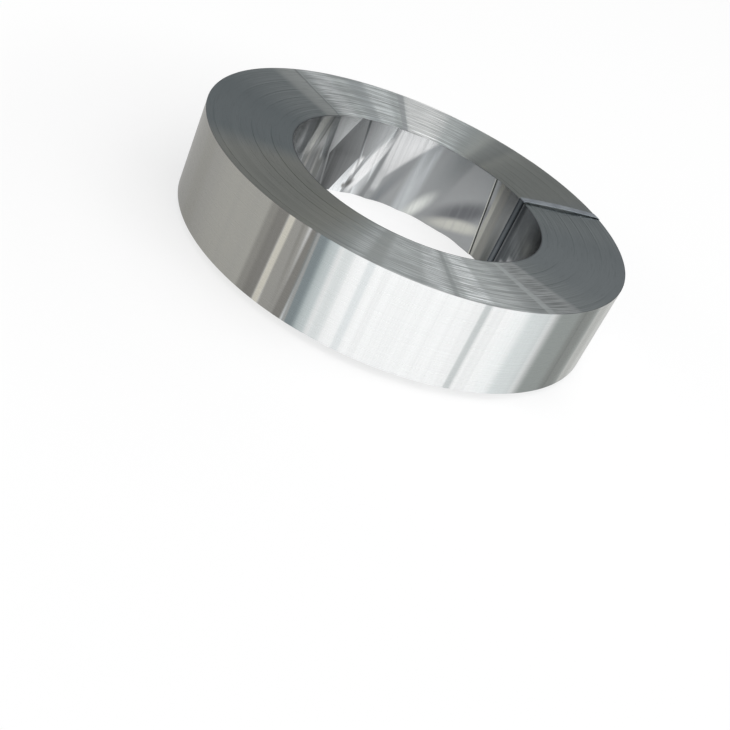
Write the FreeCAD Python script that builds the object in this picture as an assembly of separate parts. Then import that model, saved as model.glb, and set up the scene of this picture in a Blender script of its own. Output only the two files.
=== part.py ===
"""Slit coil of silicon steel strip, lying on its end, with one steel strap looped through its eye.

The origin is on the floor, on the coil's axis. +Z points up along that axis. Millimetres.
"""
import FreeCAD
import Part
import math
import os

from FreeCAD import Vector

# Strip coil
bore_diameter = 508.0
outer_diameter = 848.0
strip_width = 172.0
strip_thickness = 0.5
dish = 13.0                # how far the innermost turns have slid below the outermost ones
outer_end_angle = 62.0     # where the outermost turn ends, seen from above

# Free end of the innermost turn, cut out of square and standing off the turn behind it
inner_end_angle = 54.5     # half way up
inner_end_skew = 2.5       # how much further round it is at the top than half way up
inner_end_gap = 1.8
inner_end_reach = 2.6      # how far the gap runs in behind the end
next_turn_angle = 39.0     # where the turn behind comes back to the bore's line

# Groups of turns from the bore outwards: how many turns, how steeply the group leans, and how
# far it stands above its neighbours' line
TURN_GROUPS = (
    (26, 1.3, -0.6),
    (38, 0.9, 0.1),
    (21, 0.6, 0.5),
    (44, 1.2, -0.2),
    (29, 0.8, 0.3),
    (52, 1.1, -0.1),
    (24, 1.5, -0.5),
    (41, 0.7, 0.2),
    (23, 1.3, 0.6),
    (29, 0.9, -0.1),
)

# Buckled stretch of the innermost turn: flat facets between creases. A crease gives its angle
# and how far it lies behind the bore's line, at the foot, half way up and at the head.
CREASES = (
    ((143.0, 0.0), (145.0, 0.0), (146.0, 0.0)),
    ((138.0, 2.6), (140.4, 4.2), (141.4, 3.0)),
    ((136.8, 3.0), (139.2, 4.6), (130.2, 5.0)),
    ((131.3, 5.0), (122.9, 2.4), (125.0, 2.2)),
    ((125.5, 1.8), (121.9, 2.2), (124.2, 2.4)),
    ((119.5, 5.2), (120.0, 2.8), (111.6, 3.2)),
    ((113.8, 2.6), (114.2, 4.4), (110.8, 3.0)),
    ((112.6, 0.0), (111.5, 0.0), (110.0, 0.0)),
)

# Soft waves beside it: angle and depth at the foot, the same at the head, and the wave's radius
SOFT_WAVES = (
    (103.0, 3.6, 94.0, 2.4, 100.0),
    (87.0, 3.2, 77.0, 2.8, 100.0),
    (66.0, 3.5, 60.0, -5.0, 80.0),
)

# Strap through the eye
strap_width = 16.0
strap_thickness = 0.6
strap_angle = 38.2         # where it lies in the bore
strap_drift = 45.8         # how far to one side it has slid where it meets the outer wall
strap_wall_gap = 0.15      # left between the strap's edges and the round bore wall
strap_face_gap = 0.05      # left over the proudest turns
strap_layer_gap = 0.05     # left between the strap's two lapped ends
strap_overlap = 62.0       # how far the two ends run past each other
strap_slack = 18.0         # run over which the strap leaves the seal on a slant
bore_edge_lift = 2.6       # how far the strap's line stands off the face over the bore's edge
bow_lift = 4.5             # the same half way across the face
rim_lift = 1.5             # and over the outer rim
bore_edge_bend = 5.0       # loose bend over the bore's upper edge
bow_bend = 300.0
rim_bend = 9.0             # loose bend over the outer rim
rim_stand_off = 4.0        # how far the strap stands off the outer wall below the rim
foot_bend = 3.0            # bend under the lower outer rim
slant_bend = 40.0

# Seal that joins the strap's ends
seal_length = 32.0
seal_thickness = 0.7
seal_play = 0.1            # left between the seal and the strap inside it
seal_slit = 4.0            # left open between the two folded lips
seal_fold = 0.2
seal_wall_gap = 0.3        # left between the seal's lips and the coil
crimp_radius = 3.0
crimp_depth = 2.2
crimp_pitch = 14.0

bore_radius = bore_diameter / 2
outer_radius = outer_diameter / 2
radial_build = outer_radius - bore_radius
axis = Vector(0, 0, 1)


def turn_profile():
    """Gives the upper end of the turns as points (radius, height above the innermost turn)."""
    turns = sum(count for count, lean, step in TURN_GROUPS)
    climb = sum(count * lean for count, lean, step in TURN_GROUPS)
    points = []
    radius = bore_radius
    height = 0.0
    for count, lean, step in TURN_GROUPS:
        next_radius = radius + radial_build * count / turns
        next_height = height + dish * count * lean / climb
        points.append((radius, height + step))
        points.append((next_radius, next_height + step))
        radius = next_radius
        height = next_height
    return points


profile = turn_profile()
slope = dish / radial_build


def above_chord(point):
    """Gives how far a profile point stands above the straight line across the face."""
    radius, height = point
    return height - slope * (radius - bore_radius)


proudest = max(above_chord(point) for point in profile)
deepest = min(above_chord(point) for point in profile)

# Heights: the strap's fold under the bore edge touches the floor, and the coil sits on the strap
slant = math.hypot(1.0, slope)
strap_inset = bore_radius - math.sqrt(bore_radius ** 2 - (strap_width / 2) ** 2) + strap_wall_gap
fold_radius = strap_wall_gap   # the fold just spans the gap at the wall
strap_drop = strap_thickness + slope * (strap_inset - fold_radius) - fold_radius * (slant - 1)
coil_bottom = strap_drop - deepest
coil_top = coil_bottom + strip_width


def volute(start_radius, start_angle):
    """Makes a disc bounded by one turn of the strip: two half circles and the step between them."""
    start = Vector(start_radius, 0, 0)
    across = Vector(-start_radius, 0, 0)
    shift = strip_thickness / 2
    end = Vector(start_radius + strip_thickness, 0, 0)
    first_half = Part.Arc(start, Vector(0, start_radius, 0), across)
    second_half = Part.Arc(across, Vector(shift, -start_radius - shift, 0), end)
    step = Part.LineSegment(end, start)
    edges = [first_half.toShape(), second_half.toShape(), step.toShape()]
    disc = Part.Face(Part.Wire(edges))
    disc.rotate(Vector(0, 0, 0), axis, start_angle)
    return disc


def column(disc):
    """Raises a disc well past both ends of the coil."""
    margin = strip_width
    low = disc.copy()
    low.translate(Vector(0, 0, coil_bottom - margin))
    return low.extrude(Vector(0, 0, strip_width + dish + 2 * margin))


def on_wall(angle, depth, height):
    """Gives the point at an angle round the bore, so far behind the bore's line."""
    radius = bore_radius + depth
    turn = math.radians(angle)
    return Vector(radius * math.cos(turn), radius * math.sin(turn), height)


# Heights at which the bore wall's hollows are drawn: just past both ends and half way between
hollow_margin = 2.0
wall_foot = coil_bottom + profile[0][1]
wall_levels = (
    wall_foot - hollow_margin,
    wall_foot + strip_width / 2,
    wall_foot + strip_width + hollow_margin,
)
open_side = -8.0           # the hollows' tools start this far inside the bore


def facets_between_creases():
    """Makes the tool that leaves the creased facets in the bore wall."""
    rings = []
    for level, height in enumerate(wall_levels):
        ring = [on_wall(*crease[level], height) for crease in CREASES]
        ring.append(on_wall(CREASES[-1][level][0], open_side, height))
        ring.append(on_wall(CREASES[0][level][0], open_side, height))
        rings.append(Part.makePolygon(ring + ring[:1]))
    return Part.makeLoft(rings, True, True)


def soft_wave(foot_angle, foot_depth, head_angle, head_depth, radius):
    """Makes the leaning round tool of one soft wave."""
    foot = on_wall(foot_angle, foot_depth - radius, wall_levels[0])
    head = on_wall(head_angle, head_depth - radius, wall_levels[-1])
    return Part.makeCylinder(radius, foot.distanceToPoint(head), foot, head - foot)


def gap_behind_inner_end():
    """Makes the tool that frees the end of the innermost turn from the turn behind it."""
    back = strip_thickness + inner_end_gap
    rings = []
    for share, height in zip((-1, 0, 1), wall_levels):
        end = inner_end_angle + share * inner_end_skew
        full_depth_angle = end - inner_end_reach
        ring = [
            on_wall(next_turn_angle, 0.0, height),
            on_wall((next_turn_angle + full_depth_angle) / 2, back / 2, height),
            on_wall(full_depth_angle, back, height),
            on_wall(end + inner_end_reach, back, height),
            on_wall(end + inner_end_reach, strip_thickness, height),
            on_wall(end, strip_thickness, height),
            on_wall(end, open_side, height),
            on_wall(next_turn_angle, open_side, height),
        ]
        rings.append(Part.makePolygon(ring + ring[:1]))
    return Part.makeLoft(rings, True, True)


def strip_coil():
    """Turns the wound strip, steps its two walls at the strip's ends and buckles its bore."""
    lap = 2 * strip_thickness
    inner_step_angle = inner_end_angle - inner_end_skew - inner_end_reach
    inner = (profile[0][0] - lap, profile[0][1])
    outer = (profile[-1][0] + lap, profile[-1][1])
    ends = [inner] + profile[1:-1] + [outer]
    upper = [Vector(radius, 0, coil_top + height) for radius, height in ends]
    lower = [Vector(radius, 0, coil_bottom + height) for radius, height in reversed(ends)]
    outline = Part.makePolygon(upper + lower + upper[:1])
    turned = Part.Face(outline).revolve(Vector(0, 0, 0), axis, 360)
    bored = turned.cut(column(volute(bore_radius, inner_step_angle)))
    wound = bored.common(column(volute(outer_radius - strip_thickness, outer_end_angle)))
    hollows = [facets_between_creases(), gap_behind_inner_end()]
    hollows += [soft_wave(*wave) for wave in SOFT_WAVES]
    for hollow in hollows:
        wound = wound.cut(hollow)
    return wound


def rounded_band(points, bends, thickness, flat):
    """Makes the outline face of a bent band whose left side runs along the points.

    bends gives the inside radius at each point between the first and the last. flat turns a pair
    of coordinates into a point of the plane that the band's section lies in.
    """
    corners = []
    for before, point, after, bend in zip(points, points[1:], points[2:], bends):
        arriving = (Vector(*point, 0) - Vector(*before, 0)).normalize()
        leaving = (Vector(*after, 0) - Vector(*point, 0)).normalize()
        turn = math.atan2(arriving.cross(leaving).z, arriving.dot(leaving))
        side = math.copysign(1.0, turn)
        reach = bend * math.tan(abs(turn) / 2)
        bend_start = Vector(*point, 0) - arriving * reach
        centre = bend_start + Vector(-arriving.y, arriving.x, 0) * (bend * side)
        bend_middle = centre + (Vector(*point, 0) - centre).normalize() * bend
        bend_end = Vector(*point, 0) + leaving * reach
        corners.append((centre, bend, side, (bend_start, bend_middle, bend_end)))

    def side_line(offset):
        first = (Vector(*points[1], 0) - Vector(*points[0], 0)).normalize()
        last = (Vector(*points[-1], 0) - Vector(*points[-2], 0)).normalize()
        line = [("end", Vector(*points[0], 0) + Vector(first.y, -first.x, 0) * offset)]
        for centre, bend, side, arc in corners:
            scale = (bend + side * offset) / bend
            line.append(("arc", [centre + (spot - centre) * scale for spot in arc]))
        line.append(("end", Vector(*points[-1], 0) + Vector(last.y, -last.x, 0) * offset))
        return line

    def place(spot):
        return flat(spot.x, spot.y)

    edges = []
    tips = []
    for offset in (0.0, thickness):
        line = side_line(offset)
        here = line[0][1]
        tips.append((here, line[-1][1]))
        for kind, spots in line[1:]:
            target = spots[0] if kind == "arc" else spots
            edges.append(Part.LineSegment(place(here), place(target)).toShape())
            here = target
            if kind == "arc":
                edges.append(Part.Arc(*[place(spot) for spot in spots]).toShape())
                here = spots[2]
    for near, far in zip(*tips):
        edges.append(Part.LineSegment(place(near), place(far)).toShape())
    return Part.Face(Part.Wire(Part.__sortEdges__(edges)))


# Places that the strap and its seal share. They are drawn along the X axis first, and the wall
# reaches a little less far out there, because the seal lies to one side of that axis.
seal_half_width = strap_width / 2 + seal_play + seal_thickness
wall_reach = math.sqrt(outer_radius ** 2 - max(0.0, strap_drift - seal_half_width) ** 2)
seal_height = coil_bottom + dish + strip_width / 2
inner_layer = wall_reach + seal_wall_gap + seal_thickness + seal_play
outer_layer = inner_layer + strap_thickness + strap_layer_gap
seal_back = outer_layer + strap_thickness + seal_play + seal_thickness


def upper_line(out):
    """Gives the height just above the upper face's proudest turns."""
    return coil_top + proudest + strap_face_gap + slope * (out - bore_radius)


def lower_line(out):
    """Gives the height of the strap's coil side where the coil sits on it."""
    return coil_bottom + deepest + slope * (out - bore_radius)


def crimps():
    """Makes the round bites that the crimping jaws take out of both edges."""
    reach = seal_half_width + crimp_radius - crimp_depth
    bites = []
    for side in (-reach, reach):
        for height in (seal_height - crimp_pitch / 2, seal_height + crimp_pitch / 2):
            foot = Vector(wall_reach, side - strap_drift, height)
            depth = seal_back - wall_reach + seal_play
            bites.append(Part.makeCylinder(crimp_radius, depth, foot, Vector(1, 0, 0)))
    return bites


def turned_to_strap(shape):
    """Turns a shape from the X axis to the strap's place round the coil."""
    shape.rotate(Vector(0, 0, 0), axis, strap_angle)
    return shape


def strap_course():
    """Makes the column that the strap keeps to. It is as wide on the slant as beside it."""
    half_width = strap_width / 2
    veer = math.atan2(strap_drift, wall_reach - bore_radius)
    mitre = half_width * math.tan(veer / 2)
    near = (bore_radius - strap_width, 0.0)
    far = (wall_reach + strap_width, strap_drift)
    left = [near, (bore_radius + 2 * mitre, 0.0), (wall_reach, strap_drift), far]
    right = [near, (bore_radius, 0.0), (wall_reach - 2 * mitre, strap_drift), far]
    corners = [Vector(out, half_width - aside, 0) for out, aside in left]
    corners += [Vector(out, -half_width - aside, 0) for out, aside in reversed(right)]
    return column(Part.Face(Part.makePolygon(corners + corners[:1])))


def strap():
    """Bends the strap round the coil's section, with its two ends lapped on the outer wall."""
    half_lap = strap_overlap / 2
    rim = wall_reach + rim_stand_off
    foot = wall_reach + foot_bend
    bore_line = bore_radius - strap_inset
    bow = (bore_radius + wall_reach) / 2
    points = [
        (inner_layer, seal_height - half_lap),
        (inner_layer, seal_height + half_lap + strap_slack),
        (rim, upper_line(rim) + rim_lift),
        (bow, upper_line(bow) + bow_lift),
        (bore_line, upper_line(bore_radius) + bore_edge_lift),
        (bore_line, lower_line(bore_line)),
        (foot, lower_line(foot)),
        (outer_layer, seal_height - half_lap - strap_slack),
        (outer_layer, seal_height + half_lap),
    ]
    bends = [
        slant_bend,
        rim_bend,
        bow_bend,
        bore_edge_bend,
        fold_radius,
        foot_bend,
        slant_bend,
    ]

    def upright(across, up):
        return Vector(across, -strap_drift - strap_width, up)

    sheet = rounded_band(points, bends, strap_thickness, upright)
    band = sheet.extrude(Vector(0, strap_drift + 2 * strap_width, 0)).common(strap_course())
    for bite in crimps():
        band = band.cut(bite)
    return turned_to_strap(band)


def strap_seal():
    """Folds the seal round both layers of the strap and crimps its edges."""
    near = inner_layer - seal_play
    far = outer_layer + strap_thickness + seal_play
    half = strap_width / 2 + seal_play
    lip = seal_slit / 2
    points = [(near, -lip), (near, -half), (far, -half), (far, half), (near, half), (near, lip)]
    bends = [seal_fold] * 4
    low = seal_height - seal_length / 2

    def level(across, along):
        return Vector(across, along - strap_drift, low)

    sleeve = rounded_band(points, bends, seal_thickness, level).extrude(Vector(0, 0, seal_length))
    for bite in crimps():
        sleeve = sleeve.cut(bite)
    return turned_to_strap(sleeve)


def write(name, shape):
    """Writes one piece as its own file."""
    solid = shape.Solids[0] if len(shape.Solids) == 1 else shape
    solid.exportStep(os.path.join("parts", name + ".step"))


os.makedirs("parts", exist_ok=True)
write("strip_coil", strip_coil())
write("strap", strap())
write("strap_seal", strap_seal())
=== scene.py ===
"""Dresses the coil of silicon steel strip, the strap through its eye and the strap's seal.

Everything is in metres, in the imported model's frame: the origin is on the floor on the coil's axis
and +Z goes up along it. Angles round the coil are in degrees from +X, seen from above.
"""

from __future__ import annotations

import logging
import math
import random
from dataclasses import dataclass, field
from enum import Enum, IntEnum

import bpy
import numpy as np
from mathutils import Matrix, Vector

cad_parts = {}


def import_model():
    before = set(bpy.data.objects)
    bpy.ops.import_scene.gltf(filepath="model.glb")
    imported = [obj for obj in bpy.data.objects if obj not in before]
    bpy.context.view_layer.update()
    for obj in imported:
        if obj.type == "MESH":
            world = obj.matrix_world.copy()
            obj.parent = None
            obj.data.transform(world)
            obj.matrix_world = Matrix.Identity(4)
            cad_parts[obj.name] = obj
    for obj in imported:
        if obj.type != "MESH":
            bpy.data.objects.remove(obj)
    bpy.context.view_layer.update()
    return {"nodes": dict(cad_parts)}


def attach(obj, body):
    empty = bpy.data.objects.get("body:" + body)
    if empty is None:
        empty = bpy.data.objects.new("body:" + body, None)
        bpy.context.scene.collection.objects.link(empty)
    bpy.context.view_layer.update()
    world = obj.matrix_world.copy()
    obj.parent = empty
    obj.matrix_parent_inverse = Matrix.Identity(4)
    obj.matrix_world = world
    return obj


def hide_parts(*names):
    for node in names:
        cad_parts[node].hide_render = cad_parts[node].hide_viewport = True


Pair = tuple[float, float]
Point = tuple[float, float, float]
Colour = tuple[float, float, float]
Socket = bpy.types.NodeSocket
Input = float | Colour | Socket

LOG = logging.getLogger("strip_coil")
BODY = "root"
# The mesh attribute that carries the bore's painted shade and painted reflections.
PAINTED_TONE = "tone"

# Half way up the strip.
MIDDLE_HEIGHT = 0.087

# How much finer noise is laid over a noise. A noise's span is the part of it that counts.
SMOOTH = 1.0
FINE = 3.0
FINEST = 4.0

BLACK = (0.0, 0.0, 0.0)
# Colours of painted light: painted reflections on the outer wall, painted streaks in the slit edges'
# reflections, painted shade and a painted highlight in the bore.
BEIGE_REFLECTION = (0.39, 0.385, 0.355)
PALE_REFLECTION = (0.62, 0.625, 0.60)
BROWN_REFLECTION = (0.26, 0.255, 0.235)
BLUE_GREY_REFLECTION = (0.23, 0.268, 0.28)
SHADE = (0.05, 0.058, 0.063)
PAINTED_HIGHLIGHT = (0.98, 0.985, 0.99)
REFLECTION_STREAK_GREY = (0.34, 0.36, 0.36)


class Zone(IntEnum):
    """The surfaces of the wound strip, in the order of its material slots."""

    OUTER_WALL = 0
    SLIT_EDGES = 1
    BORE_WALL = 2
    CUT_END = 3
    GAP_BEHIND_END = 4


class End(Enum):
    """The two ends of the coil; the value is the way in which an edge may stand back."""

    UPPER = -1.0
    LOWER = 1.0


def dimmed(colour: Colour, share: float) -> Colour:
    """Gives a colour at a share of its brightness."""
    return tuple(share * tone for tone in colour)


def direction(turn: float, rise: float) -> Vector:
    """Gives the direction at an angle round the axis and an angle above the floor, in degrees."""
    turn, rise = math.radians(turn), math.radians(rise)
    return Vector((math.cos(turn) * math.cos(rise), math.sin(turn) * math.cos(rise), math.sin(rise)))


class Graph:
    """A small helper that adds nodes to one material or world."""

    COLOUR_INPUTS = (0, 6, 7)
    COLOUR_RESULT = 2

    def __init__(self, tree: bpy.types.NodeTree) -> None:
        """Keeps the tree that the nodes are added to."""
        self.tree = tree

    def put(self, socket: Socket, value: Input) -> None:
        """Links or sets one input.

        Args:
            socket: the input.
            value: the socket that is linked to it, or its value; a colour gets its alpha here.
        """
        if isinstance(value, Socket):
            self.tree.links.new(value, socket)
        else:
            socket.default_value = (*value, 1.0) if socket.type == "RGBA" else value

    def fill(self, node: bpy.types.Node, **inputs: Input) -> None:
        """Puts values on a node's inputs, which are named with underscores for spaces."""
        for name, value in inputs.items():
            self.put(node.inputs[name.replace("_", " ")], value)

    def add(self, kind: str, settings: dict[str, str] | None = None, **inputs: Input) -> bpy.types.Node:
        """Adds one node.

        Args:
            kind: the node's type name after "ShaderNode".
            settings: the node's own properties.
            **inputs: its inputs by name, with underscores for spaces.

        Returns:
            The new node.
        """
        node = self.tree.nodes.new("ShaderNode" + kind)
        for name, value in (settings or {}).items():
            setattr(node, name, value)
        self.fill(node, **inputs)
        return node

    def maths(self, operation: str, *values: Input) -> Socket:
        """Adds a maths node.

        Args:
            operation: the node's operation.
            *values: up to three sockets or numbers.

        Returns:
            Its result.
        """
        node = self.add("Math", {"operation": operation})
        for socket, value in zip(node.inputs, values):
            self.put(socket, value)
        return node.outputs[0]

    def slant(self, first: Socket, second: Socket) -> Socket:
        """Gives the length of the line across two lengths that stand square to each other."""
        squares = [self.maths("MULTIPLY", side, side) for side in (first, second)]
        return self.maths("SQRT", self.maths("ADD", *squares))

    def mix(self, share: Input, first: Input, second: Input) -> Socket:
        """Mixes two colours.

        Args:
            share: how much of the second colour shows.
            first: the first colour, or a socket.
            second: the second colour, or a socket.

        Returns:
            The mixed colour.
        """
        node = self.add("Mix", {"data_type": "RGBA"})
        for number, value in zip(self.COLOUR_INPUTS, (share, first, second)):
            self.put(node.inputs[number], value)
        return node.outputs[self.COLOUR_RESULT]

    def ramp(self, value: Socket, span: Pair, to: Pair = (0.0, 1.0)) -> Socket:
        """Maps a value smoothly from one range to another.

        Args:
            value: the socket that is mapped.
            span: where the first range starts and ends.
            to: what its start and its end become.

        Returns:
            The mapped value.
        """
        smooth = {"interpolation_type": "SMOOTHSTEP"}
        ends = {"From_Min": span[0], "From_Max": span[1], "To_Min": to[0], "To_Max": to[1]}
        return self.add("MapRange", smooth, Value=value, **ends).outputs[0]

    def below(self, value: Socket, limit: float, soft: float) -> Socket:
        """Tells where a value stays below a limit.

        Args:
            value: the socket that is compared.
            limit: the limit.
            soft: the width of the soft step at the limit.

        Returns:
            1 below the limit and 0 above it.
        """
        low = limit - soft / 2
        return self.ramp(value, (low, low + soft), (1.0, 0.0))

    def noise(self, value: Socket, scale: float, detail: float) -> Socket:
        """Adds a noise along one value, with so many waves for one unit of it."""
        along = {"noise_dimensions": "1D"}
        return self.add("TexNoise", along, W=value, Scale=scale, Detail=detail).outputs[0]

    def cloud(self, vector: Socket, scale: float, detail: float = 2.0) -> Socket:
        """Adds a noise in space, with so many waves for one unit of the vector."""
        return self.add("TexNoise", Vector=vector, Scale=scale, Detail=detail).outputs[0]


class Surface(Graph):
    """A new material with its shader, and the sockets that say where on the coil each point lies.

    angle is in degrees, and radius and height are in metres. rise is the height above the strip's
    middle. around is the direction from the axis, so a noise read from it closes round the coil.
    """

    QUARTER_TURN = 0.25

    def __init__(self, name: str, metallic: float = 1.0) -> None:
        """Starts the material.

        Args:
            name: its name.
            metallic: 1 for a metal and 0 for anything else.
        """
        self.material = bpy.data.materials.new(name)
        self.material.use_nodes = True
        super().__init__(self.material.node_tree)
        self.shader = self.tree.nodes["Principled BSDF"]
        self.set(Metallic=metallic)
        self.point = self.add("TexCoord").outputs["Object"]
        x, y, self.height = self.add("SeparateXYZ", Vector=self.point).outputs
        self.rise = self.maths("SUBTRACT", self.height, MIDDLE_HEIGHT)
        self.angle = self.maths("MULTIPLY", self.maths("ARCTAN2", y, x), math.degrees(1.0))
        self.radius = self.slant(x, y)
        shares = [self.maths("DIVIDE", part, self.radius) for part in (x, y)]
        self.around = self.add("CombineXYZ", X=shares[0], Y=shares[1]).outputs[0]

    def set(self, **inputs: Input) -> None:
        """Puts values on the shader's inputs, which are named with underscores for spaces."""
        self.fill(self.shader, **inputs)

    def show(self, shader: Socket) -> None:
        """Makes a shader the one that the surface shows."""
        self.put(self.tree.nodes["Material Output"].inputs["Surface"], shader)

    def streaks(self, scale: float, detail: float) -> Socket:
        """Adds a noise that changes round the coil only, with so many waves for a degree."""
        return self.cloud(self.around, scale * math.degrees(1.0), detail)

    def strokes(self, length: float, width: float, detail: float) -> Socket:
        """Adds a noise of strokes that follow the turns.

        Args:
            length: about how long a stroke is, in degrees.
            width: about how wide a stroke is, in metres.
            detail: how much finer noise is laid over it.

        Returns:
            The noise, from 0 to 1.
        """
        outwards = self.maths("MULTIPLY", self.radius, math.radians(length) / width)
        lift = self.add("CombineXYZ", Z=outwards).outputs[0]
        vector = self.add("VectorMath", {"operation": "ADD"})
        for socket, part in zip(vector.inputs, (self.around, lift)):
            self.put(socket, part)
        return self.cloud(vector.outputs[0], 1.0 / math.radians(length), detail)

    def grain(self, anisotropy: float) -> None:
        """Draws the shine out across fine lines that run round the coil."""
        tangent = self.add("Tangent", {"direction_type": "RADIAL", "axis": "Z"}).outputs[0]
        self.set(Tangent=tangent, Anisotropic=anisotropy, Anisotropic_Rotation=self.QUARTER_TURN)

    def emboss(self, height: Socket, depth: float, strength: float = 1.0) -> None:
        """Gives the surface its fine relief.

        Args:
            height: the relief, from 0 to 1.
            depth: how high 1 is, in metres.
            strength: how strongly the relief shows.
        """
        relief = self.add("Bump", Height=height, Strength=strength, Distance=depth)
        self.set(Normal=relief.outputs[0])


@dataclass(frozen=True)
class PaintedBand:
    """A band of painted light and shade across the strip; tint is its painted colour.

    angle is where it lies round the coil half way up. lean and spread are the degrees that it moves
    round and widens to each side for a metre of height. foot and head are its strengths at the two
    edges of the strip. broken says how much it breaks up into strokes along the turns, which are as
    long and wide as stroke says.
    """

    angle: float
    half_width: float
    soft: float
    tint: Colour
    lean: float = 0.0
    spread: float = 0.0
    foot: float = 1.0
    head: float = 1.0
    broken: float = 0.0
    stroke: Pair = (14.0, 0.0024)
    stroke_span: Pair = (0.4, 0.6)

    def offset(self, surface: Surface) -> Socket:
        """Gives how many degrees each point lies from the band's leaning middle line.

        Args:
            surface: the surface that the band lies on.

        Returns:
            The degrees, from -180 to 180.
        """
        shift = surface.maths("MULTIPLY", surface.rise, self.lean)
        upright = surface.maths("SUBTRACT", surface.angle, shift)
        return surface.maths("WRAP", surface.maths("SUBTRACT", upright, self.angle), 180.0, -180.0)

    def mask(self, surface: Surface) -> Socket:
        """Gives how strongly the band shows at each point.

        Args:
            surface: the surface that the band lies on.

        Returns:
            The strength, from 0 to 1.
        """
        widened = surface.maths("MULTIPLY", surface.rise, self.spread)
        beyond = surface.maths("SUBTRACT", surface.maths("ABSOLUTE", self.offset(surface)), widened)
        mask = surface.below(beyond, self.half_width, self.soft)
        strength = surface.ramp(surface.height, (0.0, 2 * MIDDLE_HEIGHT), (self.foot, self.head))
        return surface.maths("MULTIPLY", mask, strength)

    def lay(self, surface: Surface, colour: Input) -> Socket:
        """Lays the band over a colour.

        Args:
            surface: the surface that the band lies on.
            colour: the colour under the band.

        Returns:
            The colour with the band.
        """
        mask = self.mask(surface)
        if self.broken:
            strokes = surface.strokes(*self.stroke, FINEST)
            whole = surface.ramp(strokes, self.stroke_span, (1.0 - self.broken, 1.0))
            mask = surface.maths("MULTIPLY", mask, whole)
        return surface.mix(mask, colour, self.tint)


@dataclass(frozen=True)
class PaintedPatch(PaintedBand):
    """A patch of painted light and shade on the strip: a band that shows only near one height, and fades
    above and below.
    """

    height: float = 0.0
    half_height: float = 0.01
    fade: float = 0.01

    def mask(self, surface: Surface) -> Socket:
        """Gives how strongly the patch shows at each point.

        Args:
            surface: the surface that the patch lies on.

        Returns:
            The strength, from 0 to 1.
        """
        offset = surface.maths("ABSOLUTE", surface.maths("SUBTRACT", surface.height, self.height))
        level = surface.below(offset, self.half_height, self.fade)
        return surface.maths("MULTIPLY", super().mask(surface), level)


@dataclass(frozen=True)
class PaintedSpot(PaintedPatch):
    """A round spot of painted light and shade on the strip, which fades all round by the same share."""

    def mask(self, surface: Surface) -> Socket:
        """Gives how strongly the spot shows at each point.

        Args:
            surface: the surface that the spot lies on.

        Returns:
            The strength, from 0 to 1.
        """
        across = surface.maths("DIVIDE", self.offset(surface), self.half_width)
        above = surface.maths("SUBTRACT", surface.height, self.height)
        distance = surface.slant(across, surface.maths("DIVIDE", above, self.half_height))
        return surface.below(distance, 1.0, self.soft / self.half_width)


@dataclass(frozen=True)
class RolledFinish:
    """The bright rolled face of the strip: fine rolling lines round the coil, streaks across it.

    When the steel takes the mesh's tones, its colour comes from the painted shade and painted
    reflections that they carry, and its bands paint more reflections and shade on it. edge is the
    tint of the steel where it is seen almost edge on. Each size of streak has its waves for a
    degree and its share of the strength.
    """

    name: str
    steel: Colour
    bands: tuple[PaintedBand, ...] = ()
    takes_painted_tones: bool = False
    edge: Colour = (1.0, 1.0, 1.0)
    streak: float = 0.16
    streak_sizes: tuple[Pair, ...] = ((0.55, 1.0), (2.6, 0.5))
    streak_span: Pair = (0.4, 0.72)
    streak_tone: float = 0.35
    roughness: float = 0.3
    unevenness: float = 0.04
    line_scale: float = 900.0
    line_span: Pair = (0.2, 0.8)
    anisotropy: float = 0.95
    ripple: float = 0.00002
    ripple_scale: float = 0.22

    def material(self) -> bpy.types.Material:
        """Makes the material.

        Returns:
            The rolled steel.
        """
        surface = Surface(self.name)
        colour = self.steel
        # Painted shade and painted reflections from the tones that the mesh carries.
        if self.takes_painted_tones:
            tone = surface.add("Attribute", {"attribute_name": PAINTED_TONE}).outputs["Fac"]
            colour = surface.mix(tone, BLACK, self.steel)
        for band in self.bands:
            colour = band.lay(surface, colour)
        for scale, share in self.streak_sizes:
            streaks = surface.streaks(scale, FINEST)
            shade = surface.ramp(streaks, self.streak_span, (0.0, self.streak * share))
            colour = surface.mix(shade, colour, dimmed(self.steel, self.streak_tone))
        lines = surface.noise(surface.height, self.line_scale, FINE)
        bounds = (self.roughness - self.unevenness, self.roughness + self.unevenness)
        rough = surface.ramp(lines, self.line_span, bounds)
        surface.set(Base_Color=colour, Roughness=rough, Specular_Tint=self.edge)
        surface.grain(self.anisotropy)
        surface.emboss(surface.streaks(self.ripple_scale, SMOOTH), self.ripple)
        return surface.material


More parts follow.
